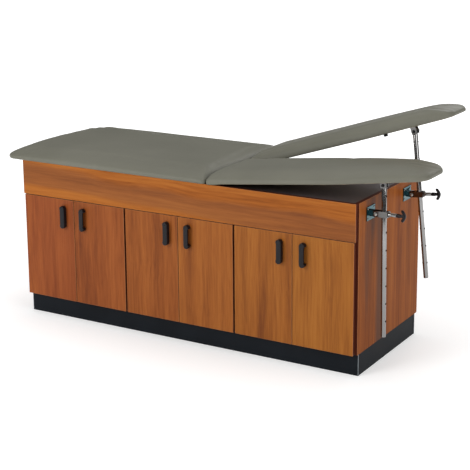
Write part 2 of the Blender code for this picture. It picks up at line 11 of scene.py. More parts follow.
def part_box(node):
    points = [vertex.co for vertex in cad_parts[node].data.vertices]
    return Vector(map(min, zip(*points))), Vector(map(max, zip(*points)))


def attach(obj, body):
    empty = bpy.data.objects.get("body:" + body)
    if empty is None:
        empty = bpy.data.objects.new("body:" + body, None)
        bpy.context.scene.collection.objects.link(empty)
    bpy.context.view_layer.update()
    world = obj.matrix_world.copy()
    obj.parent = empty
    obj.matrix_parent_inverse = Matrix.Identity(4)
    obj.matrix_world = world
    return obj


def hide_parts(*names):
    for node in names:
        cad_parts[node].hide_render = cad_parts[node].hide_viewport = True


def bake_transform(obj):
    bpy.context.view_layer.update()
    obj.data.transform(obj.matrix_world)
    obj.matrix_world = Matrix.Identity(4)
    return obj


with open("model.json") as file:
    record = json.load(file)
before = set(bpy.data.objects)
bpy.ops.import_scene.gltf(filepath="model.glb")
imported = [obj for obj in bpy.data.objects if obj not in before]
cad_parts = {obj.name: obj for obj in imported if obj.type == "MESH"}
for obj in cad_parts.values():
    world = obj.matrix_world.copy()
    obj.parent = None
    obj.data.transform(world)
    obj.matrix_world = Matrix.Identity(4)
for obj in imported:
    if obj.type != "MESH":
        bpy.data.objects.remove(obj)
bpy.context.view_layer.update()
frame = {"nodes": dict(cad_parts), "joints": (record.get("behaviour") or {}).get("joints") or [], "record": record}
nodes = frame["nodes"]
record = frame["record"]
joints = {joint["name"]: joint for joint in frame["joints"]}
body_of = {node: body for body, members in record["behaviour"]["bodies"].items() for node in members}
slot_of = {entry["node"]: entry["material_slot"] for entry in record["subparts"]}

SIDES = ("near", "far")
PAD_DEPTH = 0.055
EDGE_DEPTH = 0.020
SIDE_TOP = 0.010
SHOULDER = 0.012
FRONT_FALL = 0.034
BACK_FALL = 0.013
HEAD_FALL = 0.028
FOOT_FALL = 0.050
CORNER_FALL = 0.050
SEAM_FALL = 0.010
LIP = 0.0057
POCKET = 0.0153
SWELL = 0.004
BEND_LENGTH = 0.085
BOARD_TAPER = 0.095
BOARD_TIP = 0.003
LEG_WIDTH = 0.335
FOOT_WIDTH = 0.215
LEG_LENGTH = 0.980
LEG_NARROWS = 0.610
HINGE_ABOVE_PAD = 0.004
CLEVIS_REACH = 0.7686
TUBE_RADIUS = 0.0105
TUBE_WALL = 0.0016
TUBE_LENGTH = 0.638
TUBE_EYE = 0.013
HOLE_COUNT = 8
HOLE_PITCH = 0.075
LOWEST_HOLE = 0.067


# ---------------------------------------------------------------- materials


class Shading:
    """One node material, with short calls for the nodes it needs."""

    def __init__(self, name):
        self.material = bpy.data.materials.new(name)
        self.material.use_nodes = True
        self.tree = self.material.node_tree
        self.shader = self.tree.nodes["Principled BSDF"]
        self.coordinates = self.tree.nodes.new("ShaderNodeTexCoord")

    def node(self, kind, **values):
        made = self.tree.nodes.new(kind)
        for key, value in values.items():
            setattr(made, key, value)
        return made

    def join(self, source, target):
        self.tree.links.new(source, target)

    def mapped(self, scale, shift=(0, 0, 0), vector=None):
        mapping = self.node("ShaderNodeMapping")
        mapping.inputs["Scale"].default_value = scale
        mapping.inputs["Location"].default_value = shift
        self.join(vector or self.coordinates.outputs["Object"], mapping.inputs["Vector"])
        return mapping.outputs["Vector"]

    def noise(self, vector, scale, detail=3.0, roughness=0.55, distortion=0.0):
        made = self.node("ShaderNodeTexNoise")
        made.inputs["Scale"].default_value = scale
        made.inputs["Detail"].default_value = detail
        made.inputs["Roughness"].default_value = roughness
        made.inputs["Distortion"].default_value = distortion
        self.join(vector, made.inputs["Vector"])
        return made.outputs["Fac"]

    def math(self, operation, a, b=None, clamp=False):
        made = self.node("ShaderNodeMath", operation=operation, use_clamp=clamp)
        for socket, value in zip(made.inputs, (a, b)):
            if value is None:
                continue
            if isinstance(value, (int, float)):
                socket.default_value = value
            else:
                self.join(value, socket)
        return made.outputs[0]

    def ramp(self, factor, stops):
        made = self.node("ShaderNodeValToRGB")
        while len(made.color_ramp.elements) < len(stops):
            made.color_ramp.elements.new(0.5)
        for element, (place, colour) in zip(made.color_ramp.elements, stops):
            element.position = place
            element.color = (*colour, 1)
        self.join(factor, made.inputs["Fac"])
        return made.outputs["Color"]

    def mix(self, factor, a, b):
        made = self.node("ShaderNodeMix", data_type="RGBA")
        self.join(factor, made.inputs[0])
        for socket, value in ((made.inputs[6], a), (made.inputs[7], b)):
            if isinstance(value, tuple):
                socket.default_value = (*value, 1)
            else:
                self.join(value, socket)
        return made.outputs[2]

    def spread(self, factor, low, high):
        made = self.node("ShaderNodeMapRange")
        made.inputs["To Min"].default_value = low
        made.inputs["To Max"].default_value = high
        self.join(factor, made.inputs["Value"])
        return made.outputs["Result"]

    def bump(self, height, strength, distance):
        made = self.node("ShaderNodeBump")
        made.inputs["Strength"].default_value = strength
        made.inputs["Distance"].default_value = distance
        self.join(height, made.inputs["Height"])
        self.join(made.outputs["Normal"], self.shader.inputs["Normal"])

    def set(self, name, value):
        socket = self.shader.inputs[name]
        if isinstance(value, tuple):
            socket.default_value = (*value, 1)
        elif isinstance(value, (int, float)):
            socket.default_value = value
        else:
            self.join(value, socket)


def shade(low, high, share):
    return tuple(a + (b - a) * share for a, b in zip(low, high))


def make_wood(name, grain, face, seed, warmth, depth=1.0, figure=0.0, gloss=0.12, slide=0.0):
    """Laminate with its grain along one axis; face is the axis its broad faces look along, and figure
    is how strongly dark bands run through it."""
    s = Shading(name)
    stretch = [1.0, 1.0, 1.0]
    stretch[grain] = 0.045
    shift = (seed * 3.7, seed * 5.3 - slide, seed * 2.9)
    sway = s.noise(s.mapped((2.0, 2.0, 2.0), shift), 1.2, 1.0)
    sway = s.spread(sway, -0.016, 0.016)
    offset = s.node("ShaderNodeCombineXYZ")
    for axis in range(3):
        if axis != grain:
            s.join(sway, offset.inputs[axis])
    added = s.node("ShaderNodeVectorMath", operation="ADD")
    s.join(s.coordinates.outputs["Object"], added.inputs[0])
    s.join(offset.outputs[0], added.inputs[1])
    along = s.mapped(tuple(stretch), shift, added.outputs[0])
    bands = s.noise(along, 13.0, 2.0, 0.5)
    streaks = s.noise(along, 80.0, 4.0, 0.62)
    fine = list(stretch)
    fine[grain] = 0.020
    pores = s.noise(s.mapped(tuple(fine), shift, added.outputs[0]), 480.0, 2.0, 0.5)
    total = s.math("ADD", s.math("MULTIPLY", bands, 0.42), s.math("MULTIPLY", streaks, 0.42))
    total = s.math("ADD", total, s.math("MULTIPLY", pores, 0.16))
    red = ((0.112, 0.025, 0.007), (0.208, 0.048, 0.011), (0.260, 0.065, 0.015), (0.330, 0.093, 0.021))
    orange = ((0.148, 0.041, 0.008), (0.248, 0.080, 0.012), (0.305, 0.105, 0.016), (0.370, 0.138, 0.023))
    colours = [shade(a, b, warmth) for a, b in zip(red, orange)]
    colours = [shade((0.0, 0.0, 0.0), colour, depth) for colour in colours]
    wood = s.ramp(total, list(zip((0.32, 0.45, 0.54, 0.68), colours)))
    if figure:
        broad_noise = s.noise(along, 8.5, 1.0, 0.4)
        vein = s.ramp(broad_noise, [(0.36, (figure,) * 3), (0.44, (0, 0, 0))])
        dark = shade((0.0, 0.0, 0.0), (0.110, 0.050, 0.030), depth)
        wood = s.mix(vein, wood, dark)
    parts = s.node("ShaderNodeSeparateXYZ")
    s.join(s.coordinates.outputs["Normal"], parts.inputs[0])
    level = s.math("ABSOLUTE", parts.outputs[face])
    band = s.ramp(streaks, [(0.35, (0.060, 0.013, 0.008)), (0.65, (0.110, 0.026, 0.013))])
    # Eased edges, whose normals lie between the face and the side, are painted light tan: a painted highlight
    # along the arrises, seen as light lines beside the gaps between doors.
    painted_edge_highlight = s.mix(s.math("GREATER_THAN", level, 0.25), band, (0.46, 0.19, 0.075))
    s.set("Base Color", s.mix(s.math("GREATER_THAN", level, 0.97), painted_edge_highlight, wood))
    s.set("Roughness", s.spread(streaks, 0.36, 0.48))
    s.set("Specular IOR Level", gloss)
    s.bump(pores, 0.15, 0.0004)
    return s.material


def make_board(name, colour, speckle, roughness, bumpiness=0.1):
    """A plain decorated board, or the fibres of bare plywood."""
    s = Shading(name)
    cloud = s.noise(s.mapped((1, 1, 1)), 6.0, 2.0)
    flecks = s.noise(s.mapped((1, 1, 1)), 420.0, 3.0, 0.7)
    level = s.math("ADD", s.math("MULTIPLY", cloud, 0.45), s.math("MULTIPLY", flecks, 0.55))
    low = tuple(c * (1 - speckle) for c in colour)
    high = tuple(min(c * (1 + speckle), 1) for c in colour)
    s.set("Base Color", s.ramp(level, [(0.35, low), (0.65, high)]))
    s.set("Roughness", s.spread(cloud, roughness - 0.06, roughness + 0.06))
    s.bump(flecks, bumpiness, 0.0003)
    return s.material


def make_partition():
    """The interior board, its front edge painted near-black where the doors meet: painted shade that darkens the
    gap between the doors.
    """
    material = make_board("partition_finish", (0.60, 0.54, 0.45), 0.06, 0.50)
    tree = material.node_tree
    shader = tree.nodes["Principled BSDF"]
    coordinates = tree.nodes.new("ShaderNodeTexCoord")
    parts = tree.nodes.new("ShaderNodeSeparateXYZ")
    tree.links.new(coordinates.outputs["Normal"], parts.inputs[0])
    front = tree.nodes.new("ShaderNodeMath")
    front.operation = "LESS_THAN"
    front.inputs[1].default_value = -0.7
    tree.links.new(parts.outputs["Y"], front.inputs[0])
    mixed = tree.nodes.new("ShaderNodeMix")
    mixed.data_type = "RGBA"
    tree.links.new(front.outputs[0], mixed.inputs[0])
    tree.links.new(shader.inputs["Base Color"].links[0].from_socket, mixed.inputs[6])
    # Near-black on the front-facing edge is painted shade for the gap between the doors.
    mixed.inputs[7].default_value = (0.012, 0.011, 0.011, 1)
    tree.links.new(mixed.outputs[2], shader.inputs["Base Color"])
    return material


def make_plywood():
    s = Shading("plywood_finish")
    parts = s.node("ShaderNodeSeparateXYZ")
    s.join(s.coordinates.outputs["Normal"], parts.inputs[0])
    flat = s.math("GREATER_THAN", s.math("ABSOLUTE", parts.outputs[2]), 0.6)
    veneer = s.noise(s.mapped((0.05, 1, 1)), 70.0, 4.0, 0.6)
    plies = s.noise(s.mapped((0.02, 0.02, 1)), 330.0, 0.0)
    face = s.ramp(veneer, [(0.3, (0.27, 0.165, 0.080)), (0.7, (0.43, 0.290, 0.155))])
    edge = s.ramp(plies, [(0.40, (0.15, 0.085, 0.040)), (0.60, (0.40, 0.265, 0.140))])
    s.set("Base Color", s.mix(flat, edge, face))
    s.set("Roughness", s.spread(veneer, 0.62, 0.78))
    s.bump(veneer, 0.2, 0.0004)
    return s.material


def make_vinyl():
    """Upholstery vinyl: a fine pebbled grain, a slow drift of tone and a soft shine."""
    s = Shading("vinyl_finish")
    plain = s.mapped((1, 1, 1))
    drift = s.noise(plain, 3.5, 3.0, 0.5)
    s.set("Base Color", s.ramp(drift, [(0.30, (0.130, 0.128, 0.099)), (0.70, (0.150, 0.147, 0.115))]))
    cells = s.node("ShaderNodeTexVoronoi", feature="SMOOTH_F1")
    cells.inputs["Scale"].default_value = 820.0
    s.join(plain, cells.inputs["Vector"])
    pits = s.noise(plain, 1500.0, 2.0, 0.6)
    grain = s.math("ADD", s.math("MULTIPLY", cells.outputs["Distance"], 0.7), s.math("MULTIPLY", pits, 0.3))
    s.set("Roughness", s.spread(drift, 0.46, 0.56))
    s.set("Specular IOR Level", 0.30)
    s.bump(grain, 0.12, 0.0004)
    return s.material


def make_metal(name, colour, low, high, brushed=None):
    s = Shading(name)
    stretch = (1, 1, 1) if brushed is None else brushed
    haze = s.noise(s.mapped(stretch), 60.0, 3.0)
    s.set("Base Color", s.ramp(haze, [(0.25, tuple(c * 0.93 for c in colour)), (0.75, colour)]))
    s.set("Metallic", 1.0)
    s.set("Roughness", s.spread(haze, low, high))
    if brushed:
        s.bump(haze, 0.04, 0.0002)
    return s.material


def make_moulded(name, colour, low, high, grain):
    s = Shading(name)
    cloud = s.noise(s.mapped((1, 1, 1)), 40.0, 2.0)
    texture = s.noise(s.mapped((1, 1, 1)), 1300.0, 2.0, 0.6)
    s.set("Base Color", s.ramp(cloud, [(0.3, tuple(c * 0.8 for c in colour)), (0.7, colour)]))
    s.set("Roughness", s.spread(cloud, low, high))
    s.bump(texture, grain, 0.0003)
    return s.material


FINISH = {
    "interior": make_board("interior_finish", (0.60, 0.54, 0.45), 0.06, 0.50),
    "plinth": make_board("plinth_finish", (0.007, 0.009, 0.012), 0.30, 0.50),
    "deck": make_board("deck_finish", (0.105, 0.090, 0.094), 0.18, 0.42),
    "plywood": make_plywood(),
    "vinyl": make_vinyl(),
    "chrome": make_metal("chrome_finish", (0.27, 0.265, 0.262), 0.08, 0.16),
    # The guide brackets' dark teal is a painted reflection: the teal and dark that the plate mirrors are tinted
    # into the metal itself.
    "plated": make_metal("plated_finish", (0.040, 0.105, 0.120), 0.16, 0.28),
    "dark_chrome": make_metal("dark_chrome_finish", (0.125, 0.122, 0.120), 0.10, 0.18),
    "steel": make_metal("steel_finish", (0.42, 0.42, 0.40), 0.26, 0.38, (1, 0.2, 1)),
    "brass": make_metal("brass_finish", (0.62, 0.43, 0.17), 0.18, 0.28),
    "black_plastic": make_moulded("black_plastic_finish", (0.007, 0.006, 0.008), 0.24, 0.34, 0.05),
    "rubber": make_moulded("rubber_finish", (0.010, 0.010, 0.010), 0.62, 0.78, 0.25),
    "edge_trim": make_moulded("edge_trim_finish", (0.22, 0.25, 0.27), 0.30, 0.40, 0.05),
}
for dull in ("plinth", "deck", "rubber"):
    FINISH[dull].node_tree.nodes["Principled BSDF"].inputs["Specular IOR Level"].default_value = 0.08
FINISH["black_plastic"].node_tree.nodes["Principled BSDF"].inputs["Specular IOR Level"].default_value = 0.22


def dress(obj, material):
    obj.data.materials.clear()
    obj.data.materials.append(material)


def dress_frame():
    for name, obj in nodes.items():
        if slot_of[name] != "laminate":
            dress(obj, FINISH[slot_of[name]])
    partition = make_partition()
    for side in ("left", "right"):
        dress(nodes[f"partition_{side}"], partition)


def make_panels():
    """The laminate boards with their sharp edges eased."""
    for number in range(1, 7):
        door_wood = make_wood(f"door_{number}_finish", 2, 1, number, (number - 1) / 5)
        refine(f"door_{number}", 0.0011, 2, door_wood)
    refine("apron", 0.0013, 2, make_wood("apron_finish", 0, 1, 11, 0.60, 1.14, 0.35, 0.06))
    end_wood = make_wood("end_right_finish", 2, 0, 17, 0.34, 1.0, 0.85, 0.03, 0.095)
    refine("end_panel_right", 0.0010, 2, end_wood)
    refine("end_panel_left", 0.0010, 2, make_wood("end_left_finish", 2, 0, 19, 0.40, 1.0, 0.60, 0.03))
    refine("back_panel", 0.0006, 2, make_wood("back_finish", 2, 1, 23, 0.50))


# ---------------------------------------------------------------- mesh helpers


def publish(shape, name, body, slot, finish=None, smooth=40):
    """A bmesh becomes a piece that rides a body, with its finish."""
    mesh = bpy.data.meshes.new(name)
    shape.normal_update()
    shape.to_mesh(mesh)
    shape.free()
    obj = bpy.data.objects.new(name, mesh)
    bpy.context.scene.collection.objects.link(obj)
    mesh.materials.append(finish or FINISH[slot])
    if smooth:
        mesh.shade_smooth()
        mesh.set_sharp_from_angle(angle=math.radians(smooth))
    if body:
        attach(obj, body)
    return obj


def aim(axis):
    """A turn that takes +Z to the axis."""
    return Vector((0, 0, 1)).rotation_difference(Vector(axis).normalized()).to_matrix().to_4x4()


def lathe(shape, profile, place, segments=32):
    """Adds a turned closed form; the profile is (radius, height) pairs from one pole to the other."""
    rings = []
    for radius, height in profile:
        if radius < 1e-6:
            rings.append([shape.verts.new(place @ Vector((0, 0, height)))])
            continue
        ring = []
        for i in range(segments):
            turn = 2 * math.pi * i / segments
            point = Vector((radius * math.cos(turn), radius * math.sin(turn), height))
            ring.append(shape.verts.new(place @ point))
        rings.append(ring)
    for low, high in zip(rings, rings[1:]):
        for i in range(segments):
            j = (i + 1) % segments
            corners = [low[i % len(low)], low[j % len(low)], high[j % len(high)], high[i % len(high)]]
            distinct = list(dict.fromkeys(corners))
            if len(distinct) > 2:
                shape.faces.new(distinct)
    return rings


def settle(shape):
    bmesh.ops.recalc_face_normals(shape, faces=shape.faces)


def refine(name, width, segments=3, finish=None):
    """A node made again with the same shape, its edges softened and its round faces smooth."""
    shape = bmesh.new()
    shape.from_mesh(nodes[name].data)
    bmesh.ops.remove_doubles(shape, verts=shape.verts, dist=2e-5)
    bmesh.ops.dissolve_limit(shape, angle_limit=math.radians(1.0), verts=shape.verts, edges=shape.edges)
    settle(shape)
    obj = publish(shape, f"{name}_shell", None, slot_of[name], finish, smooth=35)
    if width:
        bevel = obj.modifiers.new("edges", "BEVEL")
        bevel.width = width
        bevel.segments = segments
        bevel.limit_method = "ANGLE"
        bevel.angle_limit = math.radians(50)
        bevel.use_clamp_overlap = True
        bevel.harden_normals = True
    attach(obj, body_of[name])
    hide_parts(name)
    return obj


# ---------------------------------------------------------------- cushions


def smoothstep(t):
    t = min(max(t, 0.0), 1.0)
    return t * t * (3 - 2 * t)


def outline_of(corners, steps=20):
    """A closed loop, anticlockwise, of corners (x, y, radius) with each corner rounded."""
    loop = []
    for i, (x, y, radius) in enumerate(corners):
        here = Vector((x, y))
        before = (Vector(corners[i - 1][:2]) - here).normalized()
        after = (Vector(corners[(i + 1) % len(corners)][:2]) - here).normalized()
        half = before.angle(after) / 2
        centre = here + (before + after).normalized() * (radius / math.sin(half))
        run = radius / math.tan(half)
        start = here + before * run - centre
        turn = math.pi - 2 * half
        for k in range(steps + 1):
            arc = Matrix.Rotation(turn * k / steps, 2) @ start
            loop.append(centre + arc)
    return loop


def width_at(loop, x):
    crossing = []
    for i, a in enumerate(loop):
        b = loop[(i + 1) % len(loop)]
        low, high = sorted((a.x, b.x))
        if low - 1e-7 <= x <= high + 1e-7:
            if high - low < 1e-9:
                crossing += [a.y, b.y]
            else:
                share = min(max((x - a.x) / (b.x - a.x), 0), 1)
                crossing.append(a.y + (b.y - a.y) * share)
    return min(crossing), max(crossing)


def columns_of(low, high, first, last, pitch):
    """Places along the pad, closer together where the end corners curve."""
    turns = [math.pi / 2 * k / 7 for k in range(8)]
    start = [low + first * (1 - math.cos(t)) for t in turns]
    end = [high - last * (1 - math.cos(t)) for t in reversed(turns)]
    count = max(2, round((end[0] - start[-1]) / pitch))
    middle = [start[-1] + (end[0] - start[-1]) * i / count for i in range(1, count)]
    return start + middle + end


def crown(corners, falls):
    """Gives the height of a pad's top at a plan point: low along the edges, full some way inside. Corners
    go anticlockwise; falls say how far the front, back, left and right edges take to rise."""
    groups = {}
    for i, (x, y, _) in enumerate(corners):
        next_x, next_y, _ = corners[(i + 1) % len(corners)]
        along = Vector((next_x - x, next_y - y)).normalized()
        inward = Vector((-along.y, along.x))
        if abs(inward.y) > 0.7:
            side = "front" if inward.y > 0 else "back"
        else:
            side = "left" if inward.x > 0 else "right"
        groups.setdefault(side, []).append((Vector((x, y)), inward))
    for i, (x, y, radius) in enumerate(corners):
        if "corner" in falls and radius == corners[0][2]:
            before, after = Vector(corners[i - 1][:2]), Vector(corners[(i + 1) % len(corners)][:2])
            here = Vector((x, y))
            inward = ((before - here).normalized() + (after - here).normalized()).normalized()
            groups[f"corner_{i}"] = [(here + inward * radius * 0.414, inward)]

    def height(point):
        full = 1.0
        for side, lines in groups.items():
            inside = [max((point - start).dot(inward), 0) for start, inward in lines]
            near = -0.010 * math.log(sum(math.exp(-d / 0.010) for d in inside))
            full *= 1 - math.exp(-max(near, 0) / falls[side.split("_")[0]])
        return EDGE_DEPTH + (PAD_DEPTH - EDGE_DEPTH) * full

    return height


def shoulder_profile(top):
    """The rounded edge, as (reach, height) pairs outwards and down from the crowned top."""
    fall = top - SIDE_TOP
    points = ((0, top), (0.5 * SHOULDER, top - 0.28 * SHOULDER), (SHOULDER, SIDE_TOP + 0.5 * fall))
    points += ((SHOULDER, SIDE_TOP),)
    profile = []
    for k in range(1, 7):
        t = k / 6
        shares = ((1 - t) ** 3, 3 * t * (1 - t) ** 2, 3 * t * t * (1 - t), t**3)
        profile.append(tuple(sum(w * p[axis] for w, p in zip(shares, points)) for axis in (0, 1)))
    under = (
        (0, 0.0065),
        (-0.0006, 0.0035),
        (-0.0024, 0.0010),
        (-0.0042, 0.0004),
        (-LIP, 0.0010),
        (-LIP, POCKET),
    )
    return profile + [(SHOULDER + reach, height) for reach, height in under]


def pad_form(corners, pitch, falls):
    """An upholstered pad from its underside at height 0: a crowned grid for a top, a soft edge, and a
    pocket below that takes the board."""
    mx, my = centre_of(corners)
    inner = [
        (x - math.copysign(SHOULDER, x - mx), y - math.copysign(SHOULDER, y - my), max(r - SHOULDER, 0.006))
        for x, y, r in corners
    ]
    loop = outline_of(inner)
    low, high = min(p.x for p in loop), max(p.x for p in loop)
    places = columns_of(low, high, inner[0][2], inner[len(inner) // 2 - 1][2], pitch)
    spans = [width_at(loop, x) for x in places]
    rows = max(4, round(max(b - a for a, b in spans) / pitch))
    height = crown(corners, falls)
    shape = bmesh.new()
    grid = []
    for x, (a, b) in zip(places, spans):
        across = [a + (b - a) * j / rows for j in range(rows + 1)]
        grid.append([shape.verts.new((x, y, height(Vector((x, y))))) for y in across])
    for left, right in zip(grid, grid[1:]):
        for j in range(rows):
            shape.faces.new((left[j], right[j], right[j + 1], left[j + 1]))
    edge = [column[0] for column in grid] + grid[-1][1:]
    edge += [column[rows] for column in reversed(grid[:-1])] + list(reversed(grid[0][1:rows]))
    normals = []
    for i, vert in enumerate(edge):
        before, after = edge[i - 1].co.xy, edge[(i + 1) % len(edge)].co.xy
        tangent = ((vert.co.xy - before).normalized() + (after - vert.co.xy).normalized()).normalized()
        normals.append(Vector((tangent.y, -tangent.x)))
    profiles = [shoulder_profile(vert.co.z) for vert in edge]
    rings = [edge]
    for step in range(len(profiles[0])):
        ring = []
        for vert, normal, profile in zip(edge, normals, profiles):
            reach, level = profile[step]
            place = vert.co.xy + normal * reach
            ring.append(shape.verts.new((place.x, place.y, level)))
        rings.append(ring)
    for upper, lower in zip(rings, rings[1:]):
        for i in range(len(edge)):
            j = (i + 1) % len(edge)
            shape.faces.new((upper[i], lower[i], lower[j], upper[j]))
    return shape


def centre_of(corners):
    xs, ys = [c[0] for c in corners], [c[1] for c in corners]
    return (min(xs) + max(xs)) / 2, (min(ys) + max(ys)) / 2


def puff(obj):
    """Foam under stretched vinyl: pressure swells the top, and the wrapped edge stays where it is stapled."""
    held = obj.vertex_groups.new(name="held")
    for vert in obj.data.vertices:
        grip = 1.0 - smoothstep((vert.co.z - 0.012) / 0.012)
        if grip > 0:
            held.add([vert.index], grip, "REPLACE")
    rest = [vert.co.copy() for vert in obj.data.vertices]
    cloth = obj.modifiers.new("swell", "CLOTH")
    settings = cloth.settings
    settings.quality = 5
    settings.mass = 0.4
    settings.tension_stiffness = 30
    settings.compression_stiffness = 30
    settings.bending_stiffness = 4
    settings.vertex_group_mass = "held"
    settings.use_pressure = True
    settings.uniform_pressure_force = 4
    settings.effector_weights.gravity = 0
    cloth.point_cache.frame_start = 1
    cloth.point_cache.frame_end = 20
    for step in range(1, 21):
        bpy.context.scene.frame_set(step)
    graph = bpy.context.evaluated_depsgraph_get()
    evaluated = obj.evaluated_get(graph)
    swollen = [vert.co.copy() for vert in evaluated.data.vertices]
    obj.modifiers.remove(cloth)
    bpy.context.scene.frame_set(1)
    for vert, start, end in zip(obj.data.vertices, rest, swollen):
        move = end - start
        move.x *= 0.3
        move.y *= 0.3
        if move.length > 1e-7:
            vert.co = start + move.normalized() * (SWELL * math.tanh(move.length / SWELL))


def gather(obj, corners):
    """Small puckers where the vinyl is drawn round the corners, strongest low on the side."""
    for vert in obj.data.vertices:
        point = vert.co
        for x, y, radius in corners:
            if radius > 0.2:
                continue
            mx, my = centre_of(corners)
            centre = Vector((x - math.copysign(radius, x - mx), y - math.copysign(radius, y - my)))
            away = Vector((point.x, point.y)) - centre
            outward = away.x * (x - mx) > 0 and away.y * (y - my) > 0
            if not outward or away.length < radius * 0.5 or point.z < 0.002:
                continue
            turn = math.atan2(abs(away.y), abs(away.x)) / (math.pi / 2)
            middle = math.sin(math.pi * turn) ** 1.5
            low = 1 - smoothstep((point.z - 0.012) / 0.034)
            folds, most = (6, 0.0011) if radius > 0.04 else (2, 0.0006)
            ripple = 0.5 + 0.5 * math.cos(2 * math.pi * folds * turn + x * 9 + y * 5)
            deep = most * middle * low * ripple
            vert.co -= Vector((away.x, away.y, 0)).normalized() * deep


def crease(obj, amount):
    """The faint unevenness of hand-stretched vinyl, a few tenths of a millimetre."""
    for vert in obj.data.vertices:
        if vert.co.z > 0.030:
            value = noise.noise(Vector((vert.co.x * 9, vert.co.y * 14, 3.1)))
            vert.co.z += amount * value


def close_pocket(mesh):
    """The face that lies over the board, added after the fine surface so that it stays one flat piece."""
    shape = bmesh.new()
    shape.from_mesh(mesh)
    rim = [edge for edge in shape.edges if edge.is_boundary]
    bmesh.ops.holes_fill(shape, edges=rim)
    settle(shape)
    shape.to_mesh(mesh)
    shape.free()


def make_pad(name, corners, replaced, falls):
    shape = pad_form(corners, 0.009, falls)
    mesh = bpy.data.meshes.new(name)
    shape.to_mesh(mesh)
    shape.free()
    obj = bpy.data.objects.new(name, mesh)
    bpy.context.scene.collection.objects.link(obj)
    puff(obj)
    crease(obj, 0.0005)
    subdivision = obj.modifiers.new("fine", "SUBSURF")
    subdivision.levels = 1
    subdivision.render_levels = 1
    graph = bpy.context.evaluated_depsgraph_get()
    fine = bpy.data.meshes.new_from_object(obj.evaluated_get(graph))
    obj.modifiers.clear()
    obj.data = fine
    close_pocket(fine)
    gather(obj, corners)
    obj.vertex_groups.clear()
    fine.materials.clear()
    fine.materials.append(FINISH["vinyl"])
    fine.shade_smooth()
    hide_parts(replaced)
    return obj


def make_main_pad():
    low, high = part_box("main_cushion")
    board_low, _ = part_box("main_pad_board")
    seam = joints["leg_near_lift"]["pos_m"][0] - 0.002
    corners = [
        (low.x, low.y, 0.060),
        (seam, low.y, 0.016),
        (seam, high.y, 0.016),
        (low.x, high.y, 0.060),
    ]
    falls = {"front": FRONT_FALL, "back": BACK_FALL, "left": HEAD_FALL, "right": SEAM_FALL}
    falls["corner"] = CORNER_FALL
    pad = make_pad("main_upholstery", corners, "main_cushion", falls)
    pad.data.transform(Matrix.Translation((0, 0, board_low.z)))
    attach(pad, "cabinet")


def leg_lean(side):
    """Radians that a leg section is raised at rest: its board's far end against its hinge."""
    hinge = joints[f"leg_{side}_lift"]["pos_m"]
    board = nodes[f"leg_board_{side}"].data.vertices
    tip = max((v.co for v in board), key=lambda co: co.x)
    lowest = min((v.co for v in board if v.co.x > tip.x - 0.06), key=lambda co: co.z - (co.x - tip.x) * 0.3)
    rise = math.atan2(lowest.z - hinge[2], lowest.x - hinge[0])
    reach = math.hypot(lowest.z - hinge[2], lowest.x - hinge[0])
    return rise + math.asin(HINGE_ABOVE_PAD / reach)


def make_leg_pad(side):
    hinge = joints[f"leg_{side}_lift"]["pos_m"]
    half, foot_half = LEG_WIDTH / 2, FOOT_WIDTH / 2
    corners = [
        (0.001, -half, 0.016),
        (LEG_NARROWS, -half, 0.300),
        (LEG_LENGTH, -foot_half, 0.060),
        (LEG_LENGTH, foot_half, 0.060),
        (LEG_NARROWS, half, 0.300),
        (0.001, half, 0.016),
    ]
    falls = {"front": SEAM_FALL, "back": SEAM_FALL, "left": SEAM_FALL, "right": FOOT_FALL}
    outer = "front" if side == "near" else "back"
    falls[outer] = FRONT_FALL if side == "near" else BACK_FALL
    pad = make_pad(f"leg_upholstery_{side}", corners, f"leg_cushion_{side}", falls)
    lean = leg_lean(side)
    for vert in pad.data.vertices:
        x, z = vert.co.x, vert.co.z - HINGE_ABOVE_PAD
        turn = lean * smoothstep(x / BEND_LENGTH)
        vert.co.x = hinge[0] + x * math.cos(turn) - z * math.sin(turn)
        vert.co.z = hinge[2] + x * math.sin(turn) + z * math.cos(turn)
        vert.co.y += hinge[1]
    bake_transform(pad)


def make_leg_board(side):
    """A leg's plywood again, its hinge end thinned and drawn in so that it stays inside the bent pad."""
    hinge = Vector(joints[f"leg_{side}_lift"]["pos_m"])
    turn = Matrix.Translation(hinge) @ Matrix.Rotation(-leg_lean(side), 4, "Y")
    shape = bmesh.new()
    shape.from_mesh(nodes[f"leg_board_{side}"].data)
    bmesh.ops.remove_doubles(shape, verts=shape.verts, dist=2e-5)
    shape.transform(turn.inverted())
    whole = list(shape.verts) + list(shape.edges) + list(shape.faces)
    bmesh.ops.bisect_plane(shape, geom=whole, plane_co=(BOARD_TAPER, 0, 0), plane_no=(1, 0, 0))
    bottom = min(vert.co.z for vert in shape.verts)
    top = max(vert.co.z for vert in shape.verts)
    for vert in shape.verts:
        share = min(max(vert.co.x / BOARD_TAPER, 0), 1)
        if vert.co.z > (top + bottom) / 2:
            vert.co.z = bottom + BOARD_TIP + (top - bottom - BOARD_TIP) * share
        vert.co.y *= 0.90 + 0.10 * share
    shape.transform(turn)
    settle(shape)
    board = publish(shape, f"leg_plywood_{side}", f"leg_{side}", "plywood", smooth=0)
    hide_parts(f"leg_board_{side}")


# ---------------------------------------------------------------- hardware


